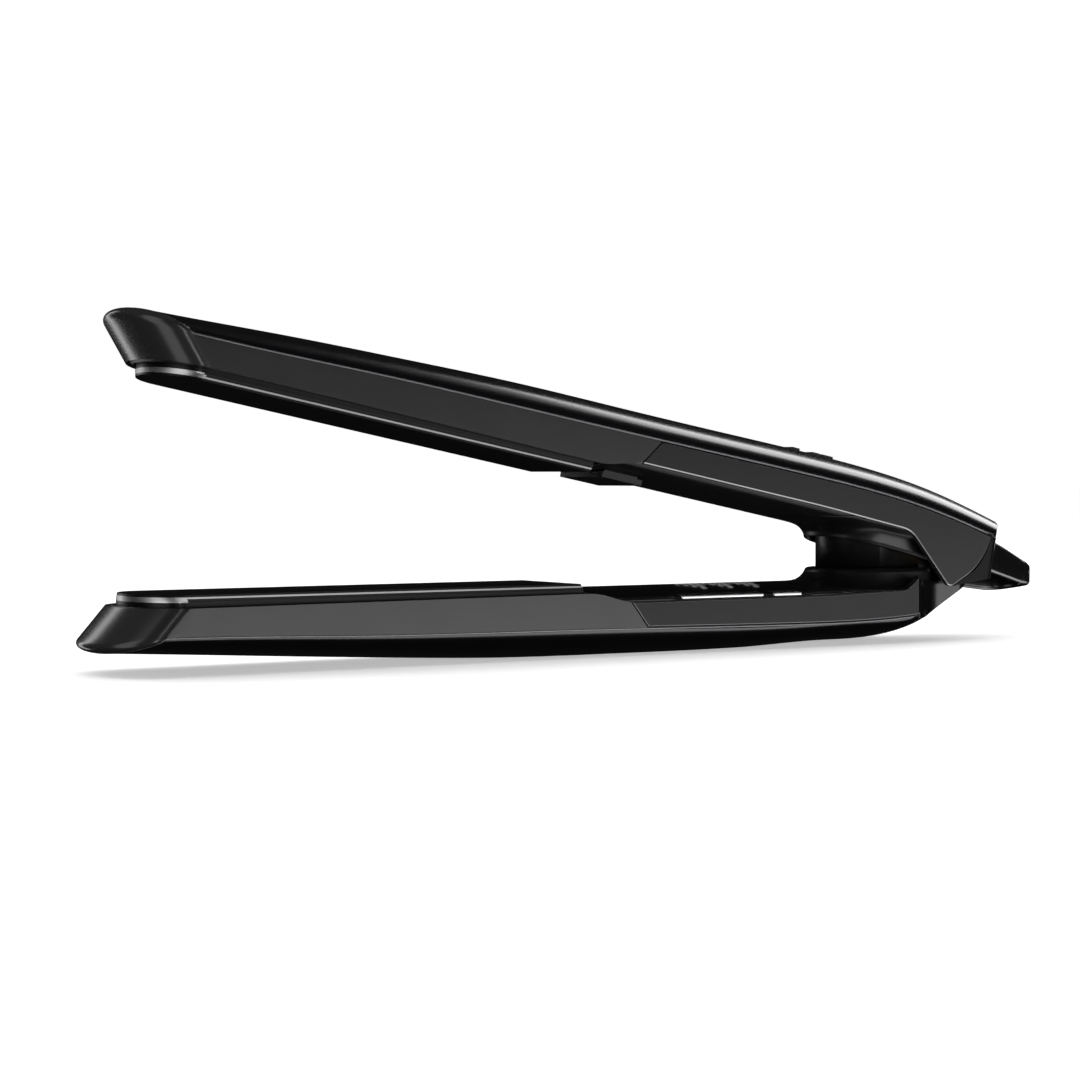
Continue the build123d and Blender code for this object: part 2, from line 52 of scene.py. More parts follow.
# ------------------------------------------------------------------ arm frame, as in the CAD
# A point is given by reach (mm forward of the line where the plate planes meet), y (mm) and
# depth (mm outward from the plane where the plates meet).
PLATE_REAR = 134.7
PLATE_FACE = 0.3
plate_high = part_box("lower_plate")[1]
ORIGIN = Vector((plate_high[0] + PLATE_REAR * MM, 0, plate_high[2] + PLATE_FACE * MM))
slide = next(j for j in frame["joints"] if j["name"] == "upper_plate_slide")
SIN, COS = slide["axis"][0], slide["axis"][2]

HALF = 16.1                 # half width of an arm
BELLY = 17.5                # depth of the flat the iron rests on
STRIPE = 0.45               # width of the bright line
WALL = 1.3                  # thickness of the shells and front panels
NOSE_CENTRE = 236.0         # plan ellipse of the nose at the depth of its inner edge
NOSE_LENGTH = 10.3
NOSE_DEPTH = 3.05
NOSE_SLOPE = 0.9            # reach gained per mm of depth on the slanted face
NOSE_TOP = 8.6              # depth where the slanted face starts to round over, at the sides
NOSE_TOP_RISE = 1.8         # and how much deeper that is at the tip
ROUND_CENTRE = 241.0        # plan ellipse where the nose meets the back
ROUND_LENGTH = 9.5
NOSE_SPREAD_START = 228.0   # from here forward the back's sections follow the nose's curve
SEAM_INNER = 122.9          # reach of the slanted seam at the panels' inner edge
SEAM_OUTER = 118.0          # reach of the same seam at the stripe
SEAM = 0.18                 # gap between the front and rear side panels
PANEL_END = {"lower": 33.0, "upper": 9.5}    # rear end of each arm's side panels
REAR_STRAIGHT = {"lower": 16.0, "upper": 9.5}    # where each arm's rear end begins to round
REAR_ROUND = {"lower": 8.0, "upper": 6.5}    # length of that rounded end
REAR_HALF = {"lower": 12.0, "upper": HALF}   # its half width


def at(arm, reach, y, depth):
    """Arm frame (mm) to the shared frame (m)."""
    if arm == "lower":
        return Vector((ORIGIN.x - reach * MM, y * MM, ORIGIN.z - depth * MM))
    x, z = -reach * MM, depth * MM
    return Vector((ORIGIN.x + x * COS + z * SIN, y * MM, ORIGIN.z - x * SIN + z * COS))


def spline(knots):
    """Natural cubic spline through (position, value) knots, level beyond the ends."""
    knots = sorted(knots)
    xs = [k[0] for k in knots]
    ys = [k[1] for k in knots]
    n = len(xs)
    second = [0.0] * n
    work = [0.0] * n
    for i in range(1, n - 1):
        ratio = (xs[i] - xs[i - 1]) / (xs[i + 1] - xs[i - 1])
        pivot = ratio * second[i - 1] + 2
        second[i] = (ratio - 1) / pivot
        slope = (ys[i + 1] - ys[i]) / (xs[i + 1] - xs[i]) - (ys[i] - ys[i - 1]) / (xs[i] - xs[i - 1])
        work[i] = (6 * slope / (xs[i + 1] - xs[i - 1]) - ratio * work[i - 1]) / pivot
    for i in range(n - 2, -1, -1):
        second[i] = second[i] * second[i + 1] + work[i]

    def value(x):
        x = min(max(x, xs[0]), xs[-1])
        k = max(i for i in range(n - 1) if xs[i] <= x)
        h = xs[k + 1] - xs[k]
        a = (xs[k + 1] - x) / h
        b = 1 - a
        bend = ((a ** 3 - a) * second[k] + (b ** 3 - b) * second[k + 1]) * h * h / 6
        return a * ys[k] + b * ys[k + 1] + bend

    return value


def ramp(knots):
    """Straight pieces through (position, value) knots, level beyond the ends."""
    knots = sorted(knots)

    def value(x):
        x = min(max(x, knots[0][0]), knots[-1][0])
        for (x0, y0), (x1, y1) in zip(knots, knots[1:]):
            if x <= x1:
                return y0 + (y1 - y0) * (x - x0) / (x1 - x0)
        return knots[-1][1]

    return value


def steps(first, last, count):
    """Evenly spaced values from first to last, both included."""
    return [first + (last - first) * i / count for i in range(count + 1)]


# ------------------------------------------------------------------ mesh helpers
def mesh_piece(name, body, replaces, vertices, faces, material):
    """Named mesh object that rides on a body and stands in for CAD nodes."""
    mesh = bpy.data.meshes.new(name)
    mesh.from_pydata([tuple(v) for v in vertices], [], faces)
    mesh.validate()
    piece = bpy.data.objects.new(name, mesh)
    bpy.context.collection.objects.link(piece)
    merged = bmesh.new()
    merged.from_mesh(mesh)
    bmesh.ops.remove_doubles(merged, verts=merged.verts, dist=0.02 * MM)
    bmesh.ops.recalc_face_normals(merged, faces=merged.faces)
    merged.to_mesh(mesh)
    merged.free()
    mesh.materials.append(material)
    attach(piece, body)
    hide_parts(*replaces)
    return piece


def grid_faces(rows, columns, closed=False):
    """Quads between neighbouring rows; closed joins each row's last point to its first."""
    faces = []
    for i in range(rows - 1):
        for j in range(columns if closed else columns - 1):
            a = i * columns + j
            b = i * columns + (j + 1) % columns
            faces.append((a, b, b + columns, a + columns))
    return faces


def grid(rows):
    """Vertices and faces of a sheet given as rows of points."""
    vertices = [p for row in rows for p in row]
    return vertices, grid_faces(len(rows), len(rows[0]))


def capped_tube(rings):
    """Vertices and faces of a tube through rings of points, with a flat face at each end."""
    count = len(rings[0])
    vertices = [p for ring in rings for p in ring]
    faces = grid_faces(len(rings), count, closed=True)
    faces += [tuple(range(count)), tuple(range(len(vertices) - count, len(vertices)))]
    return vertices, faces


def join(*sheets):
    """One pair of vertices and faces from several."""
    vertices, faces = [], []
    for more, quads in sheets:
        faces += [tuple(i + len(vertices) for i in quad) for quad in quads]
        vertices += more
    return vertices, faces


def finish_mesh(piece, thick=0.0, bevel=0.0, segments=2, angle=35, weighted=True, toward=None,
                edge=None, clamp=True):
    """Thickens a sheet to its inner side, softens its edges and applies both.

    With an edge material the softened edges get it. Without clamp they are full width even
    where the outline's points are closer together than that."""
    if toward is not None:
        face_away(piece, toward)
    if thick:
        solid = piece.modifiers.new("wall", "SOLIDIFY")
        solid.thickness = thick * MM
        solid.offset = -1
        solid.use_even_offset = True
        solid.use_quality_normals = True
    if bevel:
        soft = piece.modifiers.new("edge", "BEVEL")
        soft.width = bevel * MM
        soft.segments = segments
        soft.limit_method = "ANGLE"
        soft.angle_limit = math.radians(angle)
        soft.miter_outer = "MITER_ARC"
        soft.use_clamp_overlap = clamp
        if edge:
            piece.data.materials.append(edge)
            soft.material = 1
    piece.data.shade_smooth()
    if weighted:
        even = piece.modifiers.new("normals", "WEIGHTED_NORMAL")
        even.keep_sharp = True
        even.weight = 80
    bpy.context.view_layer.update()
    graph = bpy.context.evaluated_depsgraph_get()
    done = bpy.data.meshes.new_from_object(piece.evaluated_get(graph))
    piece.modifiers.clear()
    old = piece.data
    piece.data = done
    bpy.data.meshes.remove(old)


def face_away(piece, centre):
    """Turns the whole sheet so that its faces look away from a point."""
    total = 0.0
    for polygon in piece.data.polygons:
        total += polygon.area * polygon.normal.dot(polygon.center - centre)
    if total < 0:
        piece.data.flip_normals()


# ------------------------------------------------------------------ materials
def shader(name):
    """New material with its node tree and its surface node."""
    material = bpy.data.materials.new(name)
    material.use_nodes = True
    return material, material.node_tree, material.node_tree.nodes["Principled BSDF"]


def link_range(tree, source, target, low, high):
    """Feeds a 0..1 pattern to a socket, stretched between two values."""
    stretch = tree.nodes.new("ShaderNodeMapRange")
    stretch.inputs["To Min"].default_value = low
    stretch.inputs["To Max"].default_value = high
    tree.links.new(source, stretch.inputs["Value"])
    tree.links.new(stretch.outputs["Result"], target)


def noise(tree, scale, detail, stretch):
    """Output of a noise pattern fixed to the object."""
    place = tree.nodes.new("ShaderNodeTexCoord")
    mapping = tree.nodes.new("ShaderNodeMapping")
    mapping.inputs["Scale"].default_value = stretch
    pattern = tree.nodes.new("ShaderNodeTexNoise")
    pattern.inputs["Scale"].default_value = scale
    pattern.inputs["Detail"].default_value = detail
    tree.links.new(place.outputs["Object"], mapping.inputs["Vector"])
    tree.links.new(mapping.outputs["Vector"], pattern.inputs["Vector"])
    return pattern.outputs["Fac"]


def finish_material(name, colours, rough, metal=0.0, coat=0.0, coat_rough=0.05, grain=900.0,
                    grain_height=0.0, mottle=45.0, stretch=(1, 1, 1), specular=0.5):
    """Plastic, lacquer, rubber or metal with fine grain, faint mottling and uneven gloss."""
    material, tree, surface = shader(name)
    mixed = tree.nodes.new("ShaderNodeMix")
    mixed.data_type = "RGBA"
    mixed.inputs[6].default_value = (*colours[0], 1)
    mixed.inputs[7].default_value = (*colours[1], 1)
    tree.links.new(noise(tree, mottle, 4.0, stretch), mixed.inputs[0])
    tree.links.new(mixed.outputs[2], surface.inputs["Base Color"])
    link_range(tree, noise(tree, mottle * 2.3, 5.0, stretch), surface.inputs["Roughness"], *rough)
    surface.inputs["Metallic"].default_value = metal
    surface.inputs["Coat Weight"].default_value = coat
    surface.inputs["Coat Roughness"].default_value = coat_rough
    surface.inputs["Specular IOR Level"].default_value = specular
    if grain_height:
        bump = tree.nodes.new("ShaderNodeBump")
        bump.inputs["Strength"].default_value = 0.35
        bump.inputs["Distance"].default_value = grain_height * MM
        tree.links.new(noise(tree, grain, 6.0, stretch), bump.inputs["Height"])
        tree.links.new(bump.outputs["Normal"], surface.inputs["Normal"])
    return material


PIANO = finish_material("piano_black", ((0.003, 0.003, 0.0035), (0.005, 0.005, 0.006)),
                        (0.22, 0.27), coat=0.3, coat_rough=0.16, mottle=60)
SATIN = finish_material("satin_black", ((0.022, 0.022, 0.023), (0.027, 0.027, 0.028)),
                        (0.20, 0.25), grain=2600, grain_height=0.002)
PANEL = finish_material("panel_black", ((0.016, 0.016, 0.017), (0.020, 0.020, 0.021)),
                        (0.26, 0.32), grain=2600, grain_height=0.002, specular=0.24)
INNER = finish_material("inner_black", ((0.005, 0.005, 0.005), (0.008, 0.008, 0.008)),
                        (0.30, 0.38), grain=1800, grain_height=0.006)
TRAY = finish_material("tray_black", ((0.004, 0.004, 0.004), (0.006, 0.006, 0.006)),
                       (0.36, 0.46), grain=1500, grain_height=0.008)
STRIPE_METAL = finish_material("stripe_metal", ((0.20, 0.20, 0.21), (0.24, 0.24, 0.25)),
                               (0.34, 0.42), metal=1.0, stretch=(0.2, 1, 1))
PLATE = finish_material("plate_coating", ((0.002, 0.002, 0.002), (0.004, 0.004, 0.004)),
                        (0.30, 0.40), grain=3500, grain_height=0.003, mottle=250, specular=0.25)
# Bright metal on the black-coated plate bevel: a painted highlight line, which the lamps then light further
PLATE_EDGE_HIGHLIGHT = finish_material("plate_edge_painted_highlight", ((0.50, 0.50, 0.51), (0.60, 0.60, 0.61)),
                            (0.34, 0.44), metal=1.0, grain=900, grain_height=0.002)
# Metal on the black panels' softened edges: a painted highlight line, which the lamps then light further
PANEL_EDGE_HIGHLIGHT = finish_material("panel_edge_painted_highlight", ((0.14, 0.14, 0.145), (0.17, 0.17, 0.175)),
                           (0.24, 0.32), metal=1.0, grain=900, grain_height=0.002)
DULL_BLACK = finish_material("rear_wall_black", ((0.004, 0.004, 0.004), (0.006, 0.006, 0.006)),
                             (0.42, 0.52), grain=1500, grain_height=0.004, specular=0.25)
BUTTON = finish_material("button_metal", ((0.62, 0.62, 0.63), (0.72, 0.72, 0.73)),
                         (0.24, 0.34), metal=1.0, grain=900, grain_height=0.004,
                         stretch=(0.12, 4, 4))
GRILLE = finish_material("grille_grey", ((0.52, 0.52, 0.53), (0.60, 0.60, 0.61)), (0.45, 0.55),
                         grain=1500, grain_height=0.006)
CERAMIC = finish_material("heater_ceramic", ((0.70, 0.68, 0.62), (0.80, 0.78, 0.73)), (0.5, 0.65),
                          grain=1200, grain_height=0.02)
STEEL = finish_material("steel", ((0.50, 0.50, 0.51), (0.60, 0.60, 0.61)), (0.25, 0.38), metal=1.0,
                        grain=800, grain_height=0.006, stretch=(0.15, 3, 3))
BRONZE = finish_material("bronze", ((0.45, 0.27, 0.12), (0.55, 0.34, 0.16)), (0.32, 0.45),
                         metal=1.0, grain=900, grain_height=0.006)
RUBBER = finish_material("rubber_black", ((0.012, 0.012, 0.012), (0.018, 0.018, 0.018)),
                         (0.6, 0.75), grain=1400, grain_height=0.01)
BOARD = finish_material("board_green", ((0.012, 0.09, 0.035), (0.02, 0.12, 0.05)), (0.35, 0.5),
                        grain=700, grain_height=0.01, mottle=300)
NYLON = finish_material("nylon_white", ((0.70, 0.69, 0.66), (0.78, 0.77, 0.75)), (0.4, 0.5),
                        grain=1600, grain_height=0.01)
BY_SLOT = {
    "piano_black": PIANO, "satin_black": SATIN, "panel_black": PANEL, "inner_black": INNER,
    "tray_black": TRAY, "stripe_metal": STRIPE_METAL, "plate_coating": PLATE,
    "button_metal": BUTTON, "grille_grey": GRILLE, "heater_ceramic": CERAMIC, "steel": STEEL,
    "bronze": BRONZE, "rubber_black": RUBBER, "board_green": BOARD, "nylon_white": NYLON,
}


def dress_cad_nodes():
    """Every CAD node keeps its shape and gets the procedural material of its record slot."""
    slots = {row["node"]: row["material_slot"] for row in frame["record"]["subparts"]}
    for name, node in frame["nodes"].items():
        node.data.materials.clear()
        node.data.materials.append(BY_SLOT[slots[name]])


# ------------------------------------------------------------------ shape of the arms
# Depths by reach: the back along its middle, the back's and the panels' meeting line, the stripe
# and the panels' inner edge.
CROWN = {
    "lower": spline([(262, 12.2), (240, 13.3), (214, 14.7), (185, 16.2), (155, 17.5), (130, 18.05),
                     (105, 18.15), (80, 17.8), (55, 16.9), (33, 14.8), (22, 9.6), (10, 3.1),
                     (-2, -2)]),
    "upper": spline([(262, 12.8), (240, 14.0), (214, 15.6), (185, 16.9), (155, 18.0), (125, 18.3),
                     (96, 18.6), (57, 19.0), (28, 17.7), (11, 15.2), (-4, 12.0), (-12, 10.1)]),
}
FRONT_BASE = [(262, 9.45), (250, 9.45), (241, 9.45), (222, 9.7), (195, 10.45), (155, 10.95),
              (118, 11.35), (72, 11.95)]
BASE = {
    "lower": spline(FRONT_BASE + [(45, 11.5), (33, 10.5), (22, 5.6), (10, -0.4), (-2, -5)]),
    "upper": spline(FRONT_BASE + [(31, 10.75), (9.5, 7.95), (-12, 5.6)]),
}
STRIPE_DEPTH = spline([(k, d - STRIPE) for k, d in FRONT_BASE] + [(31, 10.3), (9.5, 7.5)])
SLOPE_REAR, SLOPE_REAR_DEPTH = 134.0, 2.5    # rear end of the inner edge's long slope
PANEL_INNER = 4.65                           # depth of the rear panels' inner edge
INNER_EDGE = spline([(SLOPE_REAR, SLOPE_REAR_DEPTH), (131.5, 2.75), (128, 3.6), (124.5, 4.45),
                     (122, PANEL_INNER)])
# Rear end of the lower arm, behind its side panels: half width and upper edge by reach.
TONGUE_SPLINE = spline([(44, 16.1), (36, 16.1), (33, 15.75), (30.5, 14.9), (28.5, 13.7),
                        (26.2, 12.5), (24, 12.0), (18, 12.0), (15, 12.0)])
TONGUE_TOP = ramp([(33, 1.2), (24, 2.4), (8, 0.6)])


def dome_depth(arm, reach, y):
    """Depth of the domed back, half an ellipse across the arm."""
    base = BASE[arm](reach)
    return base + (CROWN[arm](reach) - base) * math.sqrt(max(0.0, 1 - (y / HALF) ** 2))


def round_edge(angle, length=ROUND_LENGTH):
    """Plan curve where the nose meets the back: reach and y."""
    return ROUND_CENTRE + length * math.sin(angle), HALF * math.cos(angle)


def dome_normal(arm, reach, y):
    """Outward direction of the back in (reach, y, depth)."""
    y = max(min(y, HALF * 0.9995), -HALF * 0.9995)
    d = 0.002
    along = (dome_depth(arm, reach + d, y) - dome_depth(arm, reach - d, y)) / (2 * d)
    across = (dome_depth(arm, reach, y + d) - dome_depth(arm, reach, y - d)) / (2 * d)
    return Vector((-along, -across, 1)).normalized()


def tongue_width(reach):
    """Half width of the lower arm, which narrows behind its side panels."""
    return min(HALF, TONGUE_SPLINE(reach))


def rear_half_width(arm, reach):
    """Half width of an arm's back; the upper one keeps its full width."""
    return HALF if arm == "upper" else tongue_width(reach)


def rear_limit(arm, angle):
    """Plan point on the arm's rounded rear end."""
    return (REAR_STRAIGHT[arm] - REAR_ROUND[arm] * math.sin(angle),
            REAR_HALF[arm] * math.cos(angle))


def back_sheet(arm):
    """Domed back, from the rounded rear end to the curve where the nose begins."""
    angles = steps(0, math.pi, 56)
    straight = REAR_STRAIGHT[arm] + 2
    rows = []
    for t in steps(0, 1, 7)[:-1]:
        row = []
        for angle in angles:
            reach, y = rear_limit(arm, angle)
            reach += (straight - reach) * t
            row.append((reach, y))
        rows.append(row)
    for reach in steps(straight, 40, 22)[:-1] + steps(40, NOSE_SPREAD_START, 56):
        half = rear_half_width(arm, reach)
        rows.append([(reach, half * math.cos(angle)) for angle in angles])
    for t in steps(0, 1, 12)[1:]:
        row = []
        for angle in angles:
            reach, y = round_edge(angle, ROUND_LENGTH - STRIPE)
            row.append((NOSE_SPREAD_START + (reach - NOSE_SPREAD_START) * t, y))
        rows.append(row)
    limit = BELLY if arm == "lower" else math.inf
    points = [[at(arm, r, y, min(dome_depth(arm, r, y), limit)) for r, y in row] for row in rows]
    return grid(points)


def rear_path(arm):
    """Plan points round the arm's rear end, from the far side to the near side."""
    side = []
    if arm == "lower":
        side = [(reach, tongue_width(reach))
                for reach in steps(PANEL_END[arm], REAR_STRAIGHT[arm], 26)[:-1]]
    end = [rear_limit(arm, angle) for angle in steps(0, math.pi, 44)]
    return side + end + [(reach, -y) for reach, y in reversed(side)]


LIP = ramp([(14, 7.8), (9.5, 7.3), (3, 8.4)])    # lower edge of the upper arm's rear wall


def rear_wall_sheet(arm):
    """Upright wall below the back's rear edge."""
    low = TONGUE_TOP if arm == "lower" else LIP
    rows = []
    for reach, y in rear_path(arm):
        top = dome_depth(arm, reach, y)
        rows.append([at(arm, reach, y, top + (low(reach) - top) * t) for t in steps(0, 1, 6)])
    return grid(rows)


def outer_shell(arm):
    """Glossy back of an arm with its rear wall."""
    vertices, faces = join(back_sheet(arm), rear_wall_sheet(arm))
    piece = mesh_piece(arm + "_back", arm + "_arm", [arm + "_outer_shell"],
                       vertices, faces, PIANO)
    finish_mesh(piece, thick=WALL, bevel=0.45, segments=3, angle=38, toward=at(arm, 120, 0, 0))


def nose_point(depth, angle):
    """Point on the slanted face of the nose, which moves forward with depth."""
    centre = NOSE_CENTRE + NOSE_SLOPE * (depth - NOSE_DEPTH)
    return centre + NOSE_LENGTH * math.sin(angle), HALF * math.cos(angle), depth


def bezier(points, t):
    """Point on a cubic curve given by its four control points."""
    a, b, c, d = (Vector(p) for p in points)
    s = 1 - t
    return a * s ** 3 + b * 3 * s * s * t + c * 3 * s * t * t + d * t ** 3


def nose_profile(arm, angle):
    """Points up the slanted nose and over its rounded edge to the back."""
    top = NOSE_TOP + NOSE_TOP_RISE * math.sin(angle)
    face = [nose_point(depth, angle) for depth in steps(NOSE_DEPTH, top, 7)]
    reach, y = round_edge(angle)
    end = Vector((reach, y, dome_depth(arm, reach, y) if math.sin(angle) > 0.02
                  else STRIPE_DEPTH(reach)))
    normal = dome_normal(arm, reach, y)
    path = Vector((math.cos(angle) * ROUND_LENGTH, -math.sin(angle) * HALF, 0)).normalized()
    outward = path.cross(normal).normalized()
    if outward.z > 0:
        outward.negate()
    start = Vector(face[-1])
    rise = Vector((NOSE_SLOPE, 0, 1)).normalized()
    handle = 0.5 * (end - start).length
    curve = [start, start + rise * handle, end + outward * handle, end]
    return [Vector(p) for p in face] + [bezier(curve, t) for t in steps(0, 1, 9)[1:]]


def inner_edge(reach):
    """Depth of the front panel's inner edge: a long slope, then a curve outward to the seam."""
    if reach > SLOPE_REAR:
        part = (reach - SLOPE_REAR) / (NOSE_CENTRE - SLOPE_REAR)
        return SLOPE_REAR_DEPTH + (NOSE_DEPTH - SLOPE_REAR_DEPTH) * part
    return INNER_EDGE(reach)


def side_profile(inner_reach, outer_reach, side, count):
    """Points across the flat side panel, from its inner edge to the stripe."""
    low = Vector((inner_reach, side * HALF, inner_edge(inner_reach)))
    high = Vector((outer_reach, side * HALF, STRIPE_DEPTH(outer_reach)))
    return [low.lerp(high, t) for t in steps(0, 1, count - 1)]


def front_panel(arm):
    """Side panels and slanted nose in one U-shaped moulding."""
    nose = [nose_profile(arm, angle) for angle in steps(0, math.pi, 56)]
    count = len(nose[0])
    spans = steps(0, 1, 60)
    sides = {}
    for side in (1, -1):
        sides[side] = [side_profile(SEAM_INNER + (NOSE_CENTRE - SEAM_INNER) * t,
                                    SEAM_OUTER + (ROUND_CENTRE - SEAM_OUTER) * t,
                                    side, count) for t in spans[:-1]]
    stations = sides[1] + nose + list(reversed(sides[-1]))
    rows = [[at(arm, *point) for point in station] for station in stations]
    vertices, faces = grid(rows)
    piece = mesh_piece(arm + "_front_side", arm + "_arm", [arm + "_front_panel"],
                       vertices, faces, SATIN)
    # the softened edges get metal as a painted highlight line
    finish_mesh(piece, thick=WALL, bevel=0.36, segments=3, angle=38, toward=at(arm, 180, 0, 7),
                edge=PANEL_EDGE_HIGHLIGHT)


def pinstripe(arm):
    """Thin bright line between the side panels and the back, round the nose as well."""
    stations = []
    for reach in steps(PANEL_END[arm], ROUND_CENTRE, 90)[:-1]:
        stations.append((Vector((reach, HALF, STRIPE_DEPTH(reach) + STRIPE / 2)), Vector((0, 1, 0))))
    for angle in steps(0, math.pi / 2, 36):
        reach, y = round_edge(angle, ROUND_LENGTH - STRIPE / 2)
        depth = dome_depth(arm, reach, y)
        blend = min(1.0, math.sin(angle) / 0.15)
        depth += (STRIPE_DEPTH(reach) + STRIPE / 2 - depth) * (1 - blend)
        stations.append((Vector((reach, y, depth)), dome_normal(arm, reach, y)))
    mirrored = [(Vector((p.x, -p.y, p.z)), Vector((n.x, -n.y, n.z))) for p, n in stations[:-1]]
    stations += reversed(mirrored)
    profile = [(-0.5, -0.4), (-0.5, 0.0), (-0.28, 0.05), (0.28, 0.05), (0.5, 0.0), (0.5, -0.4)]
    rows = []
    for k, (point, normal) in enumerate(stations):
        before = stations[max(k - 1, 0)][0]
        after = stations[min(k + 1, len(stations) - 1)][0]
        across = normal.cross(after - before).normalized()
        rows.append([at(arm, *(point + across * STRIPE * u + normal * v)) for u, v in profile])
    vertices, faces = capped_tube(rows)
    piece = mesh_piece(arm + "_line", arm + "_arm", [arm + "_pinstripe"],
                       vertices, faces, STRIPE_METAL)
    finish_mesh(piece, weighted=False)


REAR_PANEL_THICKNESS = 1.4
REAR_PANEL_CORNERS = {         # (reach, depth, corner radius) along the edge off the stripe
    "lower": [(SEAM_INNER - SEAM, PANEL_INNER, 0), (66.0, PANEL_INNER, 6.0), (37.2, 3.9, 1.6),
              (PANEL_END["lower"], 0.3, 0.5)],
    "upper": [(SEAM_INNER - SEAM, PANEL_INNER, 0), (66.0, PANEL_INNER, 6.0), (37.3, 4.0, 2.6),
              (22.4, -7.6, 0.75), (20.8, -7.6, 0.7), (13.8, -2.1, 3.2), (10.9, 2.9, 2.0)],
}


def rounded(points):
    """Closed outline from (reach, depth, corner radius) with its corners rounded."""
    outline = []
    for k, (x, z, radius) in enumerate(points):
        corner = Vector((x, z))
        if not radius:
            outline.append(corner)
            continue
        before = Vector(points[k - 1][:2]) - corner
        after = Vector(points[(k + 1) % len(points)][:2]) - corner
        for t in steps(0, 1, 6):
            a = corner + before.normalized() * radius * (1 - t)
            b = corner + after.normalized() * radius * t
            outline.append(a.lerp(b, t))
    return outline


def rear_panel(arm, side):
    """Flat side panel behind the seam; the upper pair reach down over the hinge."""
    stripe = [Vector((r, STRIPE_DEPTH(r))) for r in steps(PANEL_END[arm], SEAM_OUTER - SEAM, 40)]
    outline = rounded(REAR_PANEL_CORNERS[arm] + [(*stripe[0], 0)]) + stripe[1:]
    vertices, faces = capped_tube([[at(arm, p.x, side * y, p.y) for p in outline]
                                   for y in (HALF, HALF - REAR_PANEL_THICKNESS)])
    name = "near" if side < 0 else "far"
    piece = mesh_piece(arm + "_side_" + name, arm + "_arm",
                       [arm + "_rear_panel_" + name], vertices, faces, PANEL)
    # the softened edges get metal as a painted highlight line
    finish_mesh(piece, bevel=0.4, segments=3, angle=38, edge=PANEL_EDGE_HIGHLIGHT, clamp=False)


# Lower and upper edge of the wall between the upper arm's cheeks, as depths by reach.
TRIM_LOW = ramp([(21, -7.6), (12, -4.6), (3, -1.8)])
TRIM_HIGH = ramp([(21, -7.6), (17.4, -5.0), (13.8, -2.1), (12.2, 0.3), (10.9, 2.9), (9.5, 7.2),
                  (3, 8.3)])


def rear_trim():
    """Curved wall between the upper arm's cheeks."""
    side = [(reach, HALF - 0.05) for reach in steps(20.6, REAR_STRAIGHT["upper"], 20)[:-1]]
    end = [rear_limit("upper", angle) for angle in steps(0, math.pi, 60)]
    path = side + end + [(reach, -y) for reach, y in reversed(side)]
    rows = []
    for reach, y in path:
        low, high = TRIM_LOW(reach), TRIM_HIGH(reach)
        rows.append([at("upper", reach, y * 0.997, low + (high - low) * t) for t in steps(0, 1, 8)])
    vertices, faces = grid(rows)
    piece = mesh_piece("rear_wall", "upper_arm", ["upper_rear_trim"],
                       vertices, faces, DULL_BLACK)
    finish_mesh(piece, thick=WALL, bevel=0.3, segments=3, angle=38, toward=at("upper", 60, 0, 4))


LOOP_ROOT = 6.0               # reach where the band's legs start
LOOP_TURN = -10.2             # reach where they run into the round end
LOOP_RADIUS = 7.1             # radius of the round end, which is also the legs' half spacing there
LOOP_SPREAD = 4.45            # how much wider apart the legs stand at their root
LOOP_THICK = 0.95             # half the thickness of the band
LOOP_HALF_HEIGHT = spline([(8, 4.25), (1.5, 4.15), (-6, 3.65), (-12, 3.15), (-15.5, 2.5),
                           (-18.2, 1.8)])
LOOP_MIDDLE = spline([(8, 1.1), (1.5, 1.0), (-12, 0.25), (-18.2, 0.1)])
LOOP_ROLL = math.radians(9.3)


def loop_point(reach, side, lift):
    """Point of the hanging loop, lift above its middle line, turned about the long axis."""
    y = side * math.cos(LOOP_ROLL) + lift * math.sin(LOOP_ROLL)
    depth = LOOP_MIDDLE(reach) - side * math.sin(LOOP_ROLL) + lift * math.cos(LOOP_ROLL)
    return at("upper", reach, y, depth)


def loop_path():
    """Middle line of the band in plan, with its outward direction."""
    length = LOOP_ROOT - LOOP_TURN
    legs = [(reach, LOOP_RADIUS + LOOP_SPREAD * (reach - LOOP_TURN) / length)
            for reach in steps(LOOP_ROOT, LOOP_TURN, 14)]
    turn = [(LOOP_TURN - LOOP_RADIUS * math.sin(a), LOOP_RADIUS * math.cos(a))
            for a in steps(0, math.pi, 30)][1:-1]
    plan = legs + turn + [(reach, -y) for reach, y in reversed(legs)]
    line = []
    for k, (reach, y) in enumerate(plan):
        before, after = plan[max(k - 1, 0)], plan[min(k + 1, len(plan) - 1)]
        tangent = Vector((after[0] - before[0], after[1] - before[1])).normalized()
        line.append((Vector((reach, y)), Vector((tangent.y, -tangent.x))))
    return line


def hanging_loop():
    """Tapering band with rounded rims, rooted on the rear wall."""
    rim = [(math.cos(a), math.sin(a)) for a in steps(0, math.pi, 6)]
    rows = []
    for point, outward in loop_path():
        tall = LOOP_HALF_HEIGHT(point.x) - LOOP_THICK
        ring = [(u * LOOP_THICK, tall + v * LOOP_THICK) for u, v in rim]
        ring += [(-u * LOOP_THICK, -tall - v * LOOP_THICK) for u, v in rim]
        rows.append([loop_point(point.x + outward.x * u, point.y + outward.y * u, v)
                     for u, v in ring])
    vertices, faces = capped_tube(rows)
    piece = mesh_piece("loop_band", "upper_arm", ["hanging_loop"],
                       vertices, faces, PIANO)
    finish_mesh(piece, weighted=False)


def casing_pieces():
    """Everything on the outside of the two arms."""
    for arm in ("lower", "upper"):
        outer_shell(arm)
        front_panel(arm)
        pinstripe(arm)
        for side in (1, -1):
            rear_panel(arm, side)
    rear_trim()
    hanging_loop()


